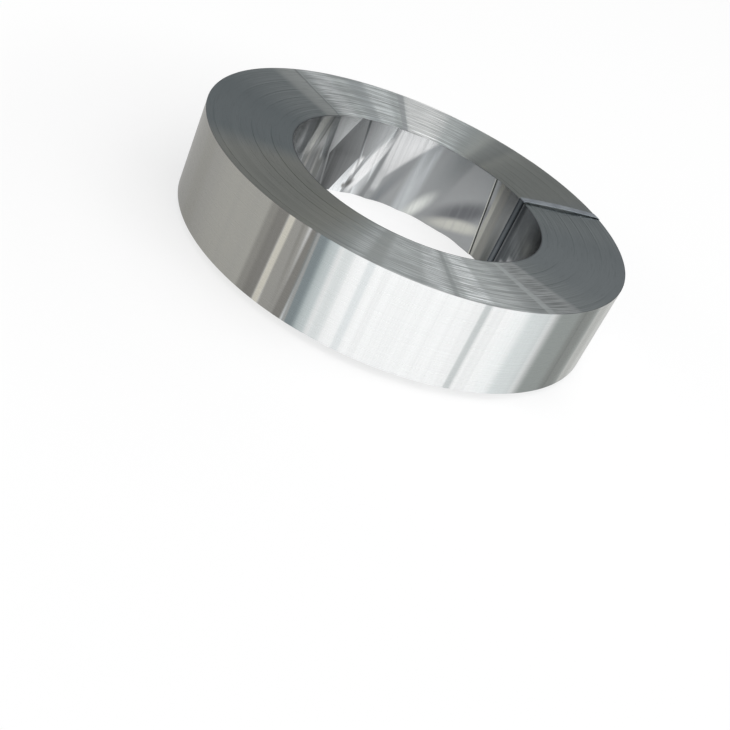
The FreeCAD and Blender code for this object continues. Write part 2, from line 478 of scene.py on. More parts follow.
@dataclass(frozen=True)
class SlitEdgeFinish:
    """The ends of the coil: hundreds of slit edges side by side, grey with fine rings.

    One noise along the radius gives the groups of turns and a finer one the single turns, and
    wander is how far both drift round the coil. Its bands are painted reflections, and each rim is a
    line of painted shade between two radii.
    """

    name: str
    dark: Colour
    light: Colour
    bands: tuple[PaintedBand, ...] = ()
    group_scale: float = 260.0
    group_span: Pair = (0.3, 0.7)
    turn_scale: float = 1300.0
    turn_span: Pair = (0.4, 0.75)
    turn_shade: float = 0.2
    turn_relief: float = 0.35
    wander: float = 0.0022
    wander_scale: float = 0.018
    stroke: Pair = (7.0, 0.0022)
    stroke_span: Pair = (0.5, 0.7)
    stroke_shade: float = 0.25
    shade_tone: float = 0.4
    rim_shade_colour: Colour = (0.10, 0.11, 0.12)
    bore_rim: Pair = (0.2552, 0.2572)
    bore_rim_shade: float = 0.85
    outer_rim: Pair = (0.4220, 0.4232)
    outer_rim_shade: float = 0.5
    roughness: float = 0.32
    anisotropy: float = 0.98
    ring_depth: float = 0.00005

    def material(self) -> bpy.types.Material:
        """Makes the material.

        Returns:
            The slit edges.
        """
        surface = Surface(self.name)
        drift = surface.maths("MULTIPLY", surface.streaks(self.wander_scale, SMOOTH), self.wander)
        line = surface.maths("ADD", surface.radius, drift)
        groups = surface.noise(line, self.group_scale, FINE)
        turns = surface.noise(line, self.turn_scale, SMOOTH)
        colour = surface.mix(surface.ramp(groups, self.group_span), self.dark, self.light)
        for band in self.bands:
            colour = band.lay(surface, colour)
        strokes = surface.strokes(*self.stroke, FINE)
        worn = surface.ramp(strokes, self.stroke_span, (0.0, self.stroke_shade))
        between = surface.ramp(turns, self.turn_span, (0.0, self.turn_shade))
        shade = surface.maths("MAXIMUM", between, worn)
        colour = surface.mix(shade, colour, dimmed(self.dark, self.shade_tone))
        # Painted shade along the bore's rim and along the outer rim.
        inner = surface.ramp(surface.radius, self.bore_rim, (self.bore_rim_shade, 0.0))
        outer = surface.ramp(surface.radius, self.outer_rim, (0.0, self.outer_rim_shade))
        colour = surface.mix(surface.maths("MAXIMUM", inner, outer), colour, self.rim_shade_colour)
        surface.set(Base_Color=colour, Roughness=self.roughness)
        surface.grain(self.anisotropy)
        relief = surface.maths("ADD", groups, surface.maths("MULTIPLY", turns, self.turn_relief))
        surface.emboss(relief, self.ring_depth)
        return surface.material


@dataclass(frozen=True)
class StrappingFinish:
    """Plain steel strapping: blue-grey, a little uneven, with painted shade where it lies against the
    bore.

    shaded is its painted shade in the bore, along its middle and along its darker edges. edge_reach
    is where one turns into the other, in degrees from its middle, and bore_reach the radii where both
    end.
    """

    name: str
    steel: Colour
    worn: Colour
    shaded: tuple[Colour, Colour] | None = None
    bore_angle: float = 38.2
    edge_reach: Pair = (0.5, 1.3)
    bore_reach: Pair = (0.2536, 0.2550)
    blotch_scale: float = 38.0
    blotch_span: Pair = (0.35, 0.75)
    roughness: Pair = (0.31, 0.44)
    roughness_span: Pair = (0.3, 0.7)
    grain_scale: float = 900.0
    grain_depth: float = 0.00004
    grain_strength: float = 0.6

    def material(self) -> bpy.types.Material:
        """Makes the material.

        Returns:
            The strapping.
        """
        surface = Surface(self.name)
        blotches = surface.cloud(surface.point, self.blotch_scale, FINEST)
        colour = surface.mix(surface.ramp(blotches, self.blotch_span), self.steel, self.worn)
        # Painted shade in the bore, darker towards the strap's edges.
        if self.shaded:
            offset = surface.maths("ABSOLUTE", surface.maths("SUBTRACT", surface.angle, self.bore_angle))
            across = surface.mix(surface.ramp(offset, self.edge_reach), *self.shaded)
            inside = surface.ramp(surface.radius, self.bore_reach, (1.0, 0.0))
            colour = surface.mix(inside, colour, across)
        rough = surface.ramp(blotches, self.roughness_span, self.roughness)
        surface.set(Base_Color=colour, Roughness=rough)
        fine = surface.cloud(surface.point, self.grain_scale)
        surface.emboss(fine, self.grain_depth, self.grain_strength)
        return surface.material


# Painted reflections: the broad and narrow bands that run across the bright outer turn, and a line
# of painted shade along its top rim.
OUTER_WALL_BANDS = (
    PaintedBand(-146.0, 32.0, 9.0, BEIGE_REFLECTION),
    PaintedBand(-151.0, 14.0, 12.0, (0.35, 0.345, 0.325)),
    PaintedBand(-146.0, 3.4, 4.0, (0.33, 0.325, 0.30)),
    PaintedBand(-173.0, 9.0, 8.0, (0.24, 0.24, 0.23)),
    PaintedBand(-167.0, 2.0, 3.0, (0.31, 0.31, 0.295)),
    PaintedBand(-116.5, 2.4, 1.4, (0.275, 0.27, 0.25), lean=7.0),
    PaintedBand(-115.2, 1.6, 1.4, (0.22, 0.215, 0.20), lean=7.0),
    PaintedBand(-110.0, 2.6, 1.6, (0.33, 0.325, 0.305)),
    PaintedBand(-109.0, 0.4, 0.5, (0.275, 0.27, 0.25), foot=0.3),
    PaintedBand(-106.5, 1.2, 0.9, (0.23, 0.225, 0.21), lean=7.0),
    PaintedBand(-103.5, 1.9, 1.7, BLUE_GREY_REFLECTION),
    PaintedBand(-105.0, 0.35, 0.5, (0.36, 0.37, 0.365)),
    PaintedBand(-101.0, 1.4, 1.8, (0.49, 0.55, 0.555), foot=0.8, head=0.8),
    PaintedBand(-112.8, 0.75, 0.7, (0.62, 0.60, 0.53), lean=7.0),
    PaintedBand(-92.0, 0.9, 1.0, (0.71, 0.75, 0.76), foot=0.7, head=0.7),
    PaintedBand(-97.4, 1.3, 1.4, (0.68, 0.72, 0.72), foot=0.7, head=0.7),
    PaintedBand(-64.6, 0.8, 0.8, (0.61, 0.64, 0.64)),
    PaintedBand(-55.0, 2.6, 3.0, (0.84, 0.86, 0.86)),
    PaintedBand(-50.0, 3.4, 2.6, (0.60, 0.65, 0.65), foot=0.7, head=0.7),
    PaintedBand(-35.7, 9.6, 4.6, (0.31, 0.335, 0.325)),
    PaintedBand(-33.0, 3.4, 3.0, (0.235, 0.25, 0.24)),
    PaintedBand(-34.2, 0.5, 0.6, (0.20, 0.215, 0.205)),
    PaintedBand(-20.5, 6.5, 5.0, (0.68, 0.69, 0.67)),
    PaintedBand(-24.6, 2.4, 3.0, (0.54, 0.55, 0.53)),
    PaintedBand(30.0, 12.0, 14.0, BEIGE_REFLECTION, foot=0.7, head=0.7),
    PaintedBand(74.0, 4.0, 4.0, BROWN_REFLECTION, foot=0.6, head=0.6),
    PaintedBand(118.0, 16.0, 12.0, BEIGE_REFLECTION, foot=0.8, head=0.8),
    PaintedBand(141.0, 1.0, 0.8, PALE_REFLECTION),
    PaintedPatch(-142.0, 32.0, 8.0, (0.16, 0.16, 0.15), height=0.1859, half_height=0.0010, fade=0.0008),
)


# Painted reflections on the slit edges: lighter and darker sectors, painted streaks in the lit ones,
# and the radial lines across them.
SLIT_EDGE_BANDS = (
    PaintedBand(-168.0, 24.0, 24.0, (0.29, 0.335, 0.35)),
    PaintedBand(-124.0, 24.0, 16.0, (0.47, 0.48, 0.44)),
    PaintedBand(-6.0, 22.0, 18.0, (0.37, 0.415, 0.43)),
    PaintedBand(58.0, 22.0, 16.0, (0.50, 0.52, 0.49)),
    PaintedBand(72.0, 3.6, 4.0, (0.37, 0.39, 0.38)),
    PaintedBand(113.4, 29.6, 6.0, (0.67, 0.71, 0.705)),
    PaintedBand(98.5, 7.5, 4.0, (0.98, 0.99, 0.98)),
    PaintedBand(115.5, 4.4, 3.0, (0.88, 0.92, 0.92)),
    PaintedBand(122.5, 3.0, 4.0, (0.52, 0.555, 0.565)),
    PaintedBand(135.5, 4.0, 5.0, (0.95, 0.98, 0.98)),
    PaintedBand(146.5, 4.4, 4.0, (0.64, 0.67, 0.655)),
    PaintedBand(112.0, 32.0, 8.0, REFLECTION_STREAK_GREY, foot=0.8, head=0.8, broken=1.0),
    PaintedBand(100.0, 5.6, 4.0, (0.98, 0.99, 0.98), foot=0.4, head=0.4),
    PaintedBand(107.0, 1.1, 0.8, (0.44, 0.46, 0.47), broken=0.3),
    PaintedBand(142.4, 0.5, 0.5, (0.62, 0.66, 0.66), foot=0.7, head=0.7),
    PaintedBand(142.9, 0.4, 0.4, (0.30, 0.32, 0.32), foot=0.7, head=0.7),
    PaintedBand(-68.0, 30.0, 4.0, (0.61, 0.64, 0.635)),
    PaintedBand(-77.0, 2.8, 2.4, (0.84, 0.87, 0.87)),
    PaintedBand(-66.5, 3.2, 2.0, (0.94, 0.97, 0.97)),
    PaintedBand(-51.5, 2.0, 2.4, (0.52, 0.55, 0.55)),
    PaintedBand(-41.0, 4.4, 3.0, (0.78, 0.81, 0.805)),
    PaintedBand(-92.3, 2.2, 2.4, (0.42, 0.44, 0.43)),
    PaintedBand(-72.0, 34.0, 8.0, REFLECTION_STREAK_GREY, foot=0.9, head=0.9, broken=1.0),
    PaintedBand(-72.3, 0.7, 0.8, REFLECTION_STREAK_GREY, broken=0.3),
    PaintedBand(-46.8, 1.2, 1.0, (0.74, 0.78, 0.77), foot=0.8, head=0.8, broken=0.5),
)


# Painted reflections and painted shade on the innermost turn: light and dark streaks and spots
# along its soft leaning waves and lines, painted shade on both sides and by its free end, a painted
# shadow line and a painted highlight at the free end, and the front side painted lighter, which the
# back side reflects.
BORE_WALL_BANDS = (
    PaintedBand(92.4, 3.7, 4.0, (0.53, 0.555, 0.57), lean=-20.0),
    PaintedBand(83.0, 5.0, 8.0, (0.28, 0.295, 0.30), lean=-60.0, foot=0.2),
    PaintedBand(106.8, 3.5, 2.4, PAINTED_HIGHLIGHT, lean=-76.0, spread=80.0, foot=0.2),
    PaintedBand(100.2, 2.4, 3.8, (0.23, 0.245, 0.255), lean=-85.0, head=0.0),
    PaintedPatch(108.5, 1.5, 1.8, (0.60, 0.61, 0.615), lean=-26.0, height=0.05, half_height=0.024, fade=0.02),
    PaintedBand(111.6, 0.9, 1.1, (0.24, 0.25, 0.255), lean=-26.0, head=0.6),
    PaintedSpot(115.5, 2.5, 1.2, PAINTED_HIGHLIGHT, lean=-80.0, height=0.075, half_height=0.068),
    PaintedPatch(121.3, 1.1, 1.0, PAINTED_HIGHLIGHT, lean=-60.0, height=0.066, half_height=0.022, fade=0.016),
    PaintedBand(118.7, 0.25, 0.5, (0.30, 0.31, 0.315), lean=-67.0, foot=1.0, head=0.0),
    PaintedBand(122.7, 0.5, 0.6, (0.12, 0.13, 0.135), lean=25.0, foot=0.0),
    PaintedSpot(79.9, 2.8, 4.6, (0.74, 0.76, 0.73), lean=-120.0, height=0.024, half_height=0.036),
    PaintedSpot(59.5, 6.6, 9.6, (0.145, 0.15, 0.16), lean=-262.0, height=0.070, half_height=0.042),
    PaintedSpot(42.1, 7.0, 8.6, (0.58, 0.58, 0.535), lean=-430.0, height=0.034, half_height=0.026),
    PaintedSpot(117.2, 1.4, 2.2, (0.13, 0.13, 0.125), lean=-90.0, height=0.025, half_height=0.010),
    PaintedSpot(125.2, 0.7, 1.2, (0.26, 0.26, 0.25), height=0.017, half_height=0.005),
    PaintedPatch(-6.0, 34.0, 3.0, SHADE, foot=1.3, head=0.57, height=0.127, half_height=0.06, fade=0.02),
    PaintedPatch(31.5, 4.0, 2.6, SHADE, foot=1.3, head=0.57, height=0.115, half_height=0.067, fade=0.016),
    PaintedBand(-110.0, 80.0, 20.0, (0.60, 0.62, 0.63)),
    PaintedBand(34.4, 2.0, 1.6, (0.04, 0.045, 0.05)),
    PaintedBand(43.8, 4.2, 4.4, (0.09, 0.095, 0.09), lean=5.0, head=0.45),
    PaintedBand(48.6, 2.6, 2.6, (0.22, 0.22, 0.205), lean=8.0, head=0.8),
    PaintedBand(51.9, 1.2, 0.9, (0.38, 0.38, 0.345), lean=4.0),
    PaintedPatch(150.8, 5.2, 1.6, (0.155, 0.16, 0.16), height=0.06, half_height=0.05, fade=0.03),
    PaintedPatch(144.6, 2.4, 1.6, (0.15, 0.155, 0.15), height=0.05, half_height=0.026, fade=0.02),
    PaintedBand(153.4, 1.0, 0.8, (0.24, 0.24, 0.23), lean=-20.0),
    PaintedBand(147.2, 0.7, 0.6, (0.28, 0.28, 0.27), head=0.0),
    PaintedBand(156.6, 1.4, 1.2, (0.14, 0.145, 0.14)),
    PaintedBand(161.2, 2.6, 1.4, (0.20, 0.21, 0.215)),
    PaintedPatch(165.4, 6.4, 2.4, (0.13, 0.14, 0.145), height=0.068, half_height=0.044, fade=0.03),
    PaintedPatch(151.0, 4.2, 1.2, (0.44, 0.45, 0.45), lean=-60.0, height=0.150, half_height=0.045, fade=0.045),
    PaintedPatch(157.6, 2.8, 1.0, (0.66, 0.66, 0.63), lean=-80.0, height=0.150, half_height=0.05, fade=0.04),
    PaintedBand(151.6, 0.5, 0.4, (0.22, 0.225, 0.22), lean=-70.0, foot=0.0),
    PaintedBand(54.1, 0.2, 0.2, (0.18, 0.185, 0.18), lean=29.0),
    PaintedBand(54.75, 0.2, 0.2, (0.60, 0.60, 0.56), lean=29.0),
)


def coil_finishes() -> dict[Zone, bpy.types.Material]:
    """Makes the materials of the wound strip.

    Returns:
        The material of each zone.
    """
    finishes = {
        Zone.OUTER_WALL: RolledFinish(
            "rolled_outer_wall", (0.87, 0.88, 0.88), OUTER_WALL_BANDS, edge=(0.75, 0.75, 0.74), streak=0.10
        ),
        Zone.SLIT_EDGES: SlitEdgeFinish(
            "slit_edges", (0.38, 0.42, 0.425), (0.51, 0.555, 0.56), SLIT_EDGE_BANDS
        ),
        # The bore wall takes its painted shade and painted reflections from the mesh and from its bands.
        Zone.BORE_WALL: RolledFinish(
            "rolled_bore_wall",
            (0.955, 0.985, 1.0),
            BORE_WALL_BANDS,
            takes_painted_tones=True,
            streak=0.22,
            roughness=0.22,
            anisotropy=0.8,
        ),
        Zone.CUT_END: RolledFinish("cut_end", (0.85, 0.85, 0.80)),
        # A dark face: painted shadow in the gap behind the free end.
        Zone.GAP_BEHIND_END: RolledFinish("gap_painted_shadow", (0.15, 0.155, 0.155)),
    }
    return {zone: finish.material() for zone, finish in finishes.items()}


@dataclass(frozen=True)
class TurnGroup:
    """A run of turns that slid together: how many, how steep, and how far above the common line."""

    turns: int
    lean: float
    step: float


@dataclass(frozen=True)
class Profile:
    """A pair of values that changes up the innermost turn, from its foot over its middle to its head.

    Heights in the innermost turn are shares, from -1 at its foot to 1 at its head.
    """

    foot: Pair
    middle: Pair
    head: Pair

    def at(self, share: float) -> Pair:
        """Gives the pair at a height.

        Args:
            share: the height, from -1 to 1.

        Returns:
            The two values there.
        """
        low, high = (self.foot, self.middle) if share < 0 else (self.middle, self.head)
        part = share + 1.0 if share < 0 else share
        return tuple(a + (b - a) * part for a, b in zip(low, high))


class Crease(Profile):
    """A fold in the innermost turn: its angle in degrees, and its depth in metres."""


class PaintedFacetLight(Profile):
    """The painted reflection between two creases, as tones beside the first and beside the second."""

    def tones(self, across: np.ndarray, share: float) -> np.ndarray:
        """Gives the painted tones from 0 to 1 at shares of the way across the facet, at a height."""
        first, second = self.at(share)
        return first + (second - first) * across


@dataclass(frozen=True)
class SoftWave:
    """A soft leaning hollow in the innermost turn, pressed by a round form of the given radius."""

    foot_angle: float
    foot_depth: float
    head_angle: float
    head_depth: float
    radius: float

    def reach(self, angles: np.ndarray, share: float, bore_radius: float) -> np.ndarray:
        """Gives how far from the axis the hollow reaches.

        Args:
            angles: angles round the bore, in degrees.
            share: the height, from -1 to 1.
            bore_radius: the bore's radius.

        Returns:
            A radius for each angle, or 0 where the form doesn't reach.
        """
        ends = []
        for angle, depth in ((self.foot_angle, self.foot_depth), (self.head_angle, self.head_depth)):
            turn = math.radians(angle)
            out = bore_radius + depth - self.radius
            ends.append(Vector((out * math.cos(turn), out * math.sin(turn))))
        centre = ends[0].lerp(ends[1], (share + 1.0) / 2.0)
        turns = np.radians(angles)
        along = centre.x * np.cos(turns) + centre.y * np.sin(turns)
        room = self.radius**2 - centre.length_squared + along**2
        return np.where(room > 0, along + np.sqrt(np.maximum(room, 0.0)), 0.0)


def pressed_out(wall: np.ndarray, angles: np.ndarray, points: list[Pair]) -> np.ndarray:
    """Presses a wall out to the straight lines from point to point.

    Args:
        wall: the wall's radius at each angle.
        angles: the angles, in degrees.
        points: the angle and radius of each point.

    Returns:
        The pressed wall's radius at each angle.
    """
    for first, second in zip(points, points[1:]):
        span = math.sin(math.radians(second[0] - first[0]))
        from_first = np.sin(np.radians(angles - first[0]))
        to_second = np.sin(np.radians(second[0] - angles))
        inside = (angles >= first[0]) & (angles <= second[0])
        reach = np.where(inside, first[1] * from_first + second[1] * to_second, 1.0)
        wall = np.maximum(wall, np.where(inside, first[1] * second[1] * span / reach, 0.0))
    return wall


@dataclass(frozen=True)
class Buckles:
    """The innermost turn: creased facets, soft waves, and its free end off the turn behind.

    The gap behind the free end is full from end_reach before it, and closes at next_turn_angle. The
    turn behind leaves the bore's line over half a turn from growth_angle. It is drawn from angle 0
    on, and starts there with a small step. Columns of the even grid move to lie fold beside the
    creases and edge beside the free end, and those at still_angles stay.
    """

    bore_radius: float = 0.254
    thickness: float = 0.0005
    creases: tuple[Crease, ...] = (
        Crease((112.6, 0.0), (111.5, 0.0), (110.0, 0.0)),
        Crease((113.8, 0.0026), (114.2, 0.0044), (110.8, 0.003)),
        Crease((119.5, 0.0052), (120.0, 0.0028), (111.6, 0.0032)),
        Crease((125.5, 0.0018), (121.9, 0.0022), (124.2, 0.0024)),
        Crease((131.3, 0.005), (122.9, 0.0024), (125.0, 0.0022)),
        Crease((136.8, 0.003), (139.2, 0.0046), (128.8, 0.005)),
        Crease((138.0, 0.0026), (140.4, 0.0042), (141.4, 0.003)),
        Crease((143.0, 0.0), (145.0, 0.0), (146.0, 0.0)),
    )
    # Painted light on the bore wall: the plain wall's painted shade, then each facet's painted reflection.
    plain_painted_shade: float = 0.36
    facets: tuple[PaintedFacetLight, ...] = (
        PaintedFacetLight((0.40, 0.34), (0.36, 1.0), (0.85, 0.95)),
        PaintedFacetLight((0.12, 0.90), (1.0, 0.50), (0.75, 0.70)),
        PaintedFacetLight((0.60, 0.45), (0.36, 0.34), (0.75, 0.34)),
        PaintedFacetLight((1.0, 1.0), (0.80, 0.55), (0.14, 0.14)),
        PaintedFacetLight((0.18, 0.06), (0.24, 0.08), (0.38, 0.44)),
        PaintedFacetLight((0.12, 0.20), (0.30, 0.22), (1.0, 0.60)),
        PaintedFacetLight((0.10, 0.10), (0.14, 0.36), (0.50, 0.90)),
    )
    waves: tuple[SoftWave, ...] = (
        SoftWave(103.0, 0.0036, 94.0, 0.0024, 0.100),
        SoftWave(87.0, 0.0032, 77.0, 0.0028, 0.100),
        SoftWave(66.0, 0.0035, 60.0, -0.005, 0.080),
    )
    end_angle: float = 54.5
    end_skew: float = 2.5
    end_gap: float = 0.0018
    end_reach: float = 2.6
    next_turn_angle: float = 39.0
    growth_angle: float = 229.4
    column: float = 0.75
    still_angles: tuple[float, ...] = (0.0, 36.0, 72.0, 102.0, 156.0, 360.0)
    first_facet_column: float = 108.0
    facet_columns: int = 6
    column_slack: float = 0.1
    fold: float = 0.12
    edge: float = 0.03

    def free_end(self, share: float) -> float:
        """Gives the angle of the strip's cut end at a height."""
        return self.end_angle + self.end_skew * share

    def keys(self, share: float) -> tuple[tuple[float, ...], tuple[float, ...]]:
        """Says where columns of the even grid go, so that they lie along the folds.

        Args:
            share: the height, from -1 to 1.

        Returns:
            Even angles, and the angles that they move to.
        """
        end = self.free_end(share)
        near = round(self.end_angle / self.column) * self.column
        pairs = [(angle, angle) for angle in self.still_angles]
        pairs += [(near - self.column, end - 2 * self.edge), (near, end)]
        pairs += [(near + self.column, end + self.edge)]
        for count, crease in enumerate(self.creases):
            angle, _ = crease.at(share)
            column = self.first_facet_column + count * self.facet_columns * self.column
            pairs += [(column - self.column, angle - self.fold), (column, angle + self.fold)]
        even, moved = zip(*sorted(pairs))
        return even, moved

    def painted_light(self, angles: np.ndarray, share: float) -> np.ndarray:
        """Gives the painted tone: painted shade on the plain wall, and each facet's own painted
        reflection.

        Args:
            angles: angles of the even grid, in degrees.
            share: the height, from -1 to 1.

        Returns:
            A tone for each angle, from 0 to 1.
        """
        painted_light = np.full(len(angles), self.plain_painted_shade)
        last = self.facet_columns - 1.0
        for count, facet in enumerate(self.facets):
            past = (angles - self.first_facet_column) / self.column - count * self.facet_columns
            inside = (past > -self.column_slack) & (past < last + self.column_slack)
            painted_light[inside] = facet.tones(past[inside] / last, share)
        return painted_light

    def radii(self, angles: np.ndarray, share: float) -> np.ndarray:
        """Gives the bore wall's radius.

        Args:
            angles: angles round the bore, in degrees.
            share: the height, from -1 to 1.

        Returns:
            A radius for each angle.
        """
        end = self.free_end(share)
        deep = end - self.end_reach
        back = self.thickness + self.end_gap
        wall = np.full(len(angles), self.bore_radius)
        for wave in self.waves:
            wall = np.maximum(wall, wave.reach(angles, share, self.bore_radius))
        folds = [(angle, self.bore_radius + depth) for angle, depth in (c.at(share) for c in self.creases)]
        wall = pressed_out(wall, angles, folds)
        line = [
            (self.next_turn_angle, self.bore_radius),
            ((self.next_turn_angle + deep) / 2, self.bore_radius + back / 2),
            (deep, self.bore_radius + back),
        ]
        turn = pressed_out(np.full(len(angles), self.bore_radius + self.thickness), angles, line)
        turn = np.where(angles > deep, self.bore_radius + back, turn)
        growth = np.clip((360.0 + angles - self.growth_angle) / 180.0, 0.0, 1.0)
        turn = np.where(angles > self.next_turn_angle, turn, self.bore_radius + self.thickness * growth)
        behind = angles < end - self.edge
        cut = ~behind & (angles < end + self.edge / 2)
        return np.where(behind, turn, np.where(cut, self.bore_radius + self.thickness, wall))


@dataclass
class StripCoil:
    """The wound strip: one long strip in more than three hundred turns.

    foot_lift is how far the bore wall's foot stands above the first turns, and first_ring where the
    rings of edges begin. Points less than weld apart are one, and the slacks are how near to a
    wall's radius its points and faces lie.
    """

    buckles: Buckles = field(default_factory=Buckles)
    bore_radius: float = 0.254
    outer_radius: float = 0.424
    strip_width: float = 0.172
    strip_thickness: float = 0.0005
    dish: float = 0.013
    rest_height: float = 0.00121
    foot_lift: float = 0.00009
    outer_end_angle: float = 62.0
    end_step: float = 0.02
    groups: tuple[TurnGroup, ...] = (
        TurnGroup(26, 1.3, -0.0006),
        TurnGroup(38, 0.9, -0.0001),
        TurnGroup(21, 0.6, 0.0002),
        TurnGroup(44, 1.2, -0.0001),
        TurnGroup(29, 0.8, 0.0001),
        TurnGroup(52, 1.1, -0.0001),
        TurnGroup(24, 1.5, -0.0002),
        TurnGroup(41, 0.7, 0.0001),
        TurnGroup(23, 1.3, 0.0002),
        TurnGroup(29, 0.9, -0.0001),
    )
    upper_seed: int = 3
    lower_seed: int = 8
    columns: int = 480
    bore_rows: int = 24
    bundle_turns: tuple[int, int] = (6, 13)
    unevenness: float = 0.0002
    first_ring: float = 0.2605
    weld: float = 0.000004
    vertex_slack: float = 0.00001
    face_slack: float = 0.0001
    height_digits: int = 6
    level_normal: float = 0.3
    crisp_angle: float = 24.0

    @property
    def column(self) -> float:
        """Gives the width of a column of faces, in degrees."""
        return 360.0 / self.columns

    def ring_line(self, end: End, seed: int) -> list[Pair]:
        """Lays the edges of the turns out from the bore, in bundles that stand unevenly.

        Args:
            end: which end of the coil the line is for.
            seed: the seed of the unevenness.

        Returns:
            Points of radius and height, from the first ring to the outer wall.
        """
        chance = random.Random(seed)
        turns = sum(group.turns for group in self.groups)
        climb = sum(group.turns * group.lean for group in self.groups)
        pitch = (self.outer_radius - self.bore_radius) / turns
        base = self.rest_height + (self.strip_width if end is End.UPPER else 0.0)
        points = []
        radius, height = self.bore_radius, 0.0
        for group in self.groups:
            left = group.turns
            rise = self.dish * group.lean / climb
            while left > 0:
                count = min(left, chance.randint(*self.bundle_turns))
                count = left if left - count < self.bundle_turns[0] else count
                back = end.value * chance.uniform(0.0, self.unevenness)
                start = (radius, base + height + group.step + back)
                radius, height = radius + count * pitch, height + count * rise
                points += [start, (radius, base + height + group.step + back)]
                left -= count
        return [point for point in points if point[0] > self.first_ring]

    def bore_span(self) -> Pair:
        """Gives the heights of the bore wall's foot and head."""
        foot = self.rest_height + self.groups[0].step + self.foot_lift
        return foot, foot + self.strip_width

    def section(self) -> list[Pair]:
        """Draws the coil's section.

        Returns:
            Its points of radius and height, round from the bore wall's foot.
        """
        upper = self.ring_line(End.UPPER, self.upper_seed)
        lower = self.ring_line(End.LOWER, self.lower_seed)
        foot, head = self.bore_span()
        rows = self.bore_rows
        wall = [(self.bore_radius, foot + (head - foot) * row / rows) for row in range(rows + 1)]
        low, high = lower[-1][1], upper[-1][1]
        outer = [(self.outer_radius, height) for height in (high, (low + high) / 2, low)]
        return wall + upper[:-1] + outer + lower[-2::-1]

    def sweep(self) -> bpy.types.Object:
        """Draws the section by extruding one point on and on, and sweeps it round the axis.

        Returns:
            The coil with a plain round bore.
        """
        bpy.ops.mesh.primitive_plane_add(size=self.strip_width, location=(0.0, 0.0, 0.0))
        coil = bpy.context.object
        coil.name = coil.data.name = "strip_coil_wound"
        points = [Vector((radius, 0.0, height)) for radius, height in self.section()]
        bpy.ops.object.mode_set(mode="EDIT")
        bpy.ops.mesh.select_all(action="SELECT")
        bpy.ops.mesh.merge(type="CENTER")
        bpy.ops.transform.translate(value=points[0])
        for before, point in zip(points, points[1:]):
            bpy.ops.mesh.extrude_region_move(TRANSFORM_OT_translate={"value": point - before})
        bpy.ops.object.mode_set(mode="OBJECT")
        for count, vertex in enumerate(coil.data.vertices):
            vertex.select = count in (0, len(points) - 1)
        bpy.ops.object.mode_set(mode="EDIT")
        bpy.ops.mesh.edge_face_add()
        bpy.ops.object.mode_set(mode="OBJECT")
        bpy.ops.object.modifier_add(type="SCREW")
        screw = coil.modifiers[-1]
        screw.axis, screw.angle = "Z", math.tau
        screw.steps = screw.render_steps = self.columns
        screw.use_merge_vertices = True
        screw.merge_threshold = self.weld
        bpy.ops.object.modifier_apply(modifier=screw.name)
        bpy.ops.object.mode_set(mode="EDIT")
        bpy.ops.mesh.select_all(action="SELECT")
        bpy.ops.mesh.remove_doubles(threshold=self.weld)
        bpy.ops.mesh.normals_make_consistent(inside=False)
        bpy.ops.object.mode_set(mode="OBJECT")
        return coil

    def wall_columns(self, angles: np.ndarray) -> tuple[np.ndarray, np.ndarray]:
        """Gives the outer wall, which grows by the strip's thickness over its last half turn.

        Args:
            angles: the even angles of the wall's columns, in degrees.

        Returns:
            The radii and the angles of the columns, with two columns at the strip's end.
        """
        end = self.outer_end_angle
        near = math.ceil(end / self.column) * self.column
        moved = np.where(abs(angles - near) < self.column / 4, end, angles)
        moved = np.where(abs(angles - near + self.column) < self.column / 4, end - self.end_step, moved)
        past = np.radians((moved - end) % 360.0)
        shift = self.strip_thickness / 2
        inner = self.outer_radius - self.strip_thickness
        grown = shift * np.cos(past) + np.sqrt((inner + shift) ** 2 - (shift * np.sin(past)) ** 2)
        return np.where(past < math.pi, inner, grown), moved

    def press(self, coil: bpy.types.Object) -> None:
        """Presses the buckles into the bore wall and steps the outer wall at the strip's end.

        Args:
            coil: the swept coil.
        """
        mesh = coil.data
        flat = np.empty(len(mesh.vertices) * 3)
        mesh.vertices.foreach_get("co", flat)
        points = flat.reshape(-1, 3)
        radius = np.hypot(points[:, 0], points[:, 1])
        angle = np.degrees(np.arctan2(points[:, 1], points[:, 0])) % 360.0
        angle = np.round(angle * self.columns / 360.0) * 360.0 / self.columns % 360.0
        foot, head = self.bore_span()
        # The bore's painted shade and painted reflections, which the bore wall's material reads.
        tones = np.full(len(points), self.buckles.plain_painted_shade)
        bore = radius < self.bore_radius + self.vertex_slack
        for height in np.unique(points[bore, 2].round(self.height_digits)):
            row = bore & (abs(points[:, 2] - height) < self.weld)
            share = 2.0 * (height - foot) / (head - foot) - 1.0
            tones[row] = self.buckles.painted_light(angle[row], share)
            moved = np.interp(angle[row], *self.buckles.keys(share))
            radius[row] = self.buckles.radii(moved, share)
            angle[row] = moved
        outer = radius > self.outer_radius - self.vertex_slack
        radius[outer], angle[outer] = self.wall_columns(angle[outer])
        turn = np.radians(angle)
        changed = bore | outer
        points[changed, 0] = (radius * np.cos(turn))[changed]
        points[changed, 1] = (radius * np.sin(turn))[changed]
        mesh.vertices.foreach_set("co", points.ravel())
        mesh.attributes.new(PAINTED_TONE, "FLOAT", "POINT").data.foreach_set("value", tones)
        mesh.update()

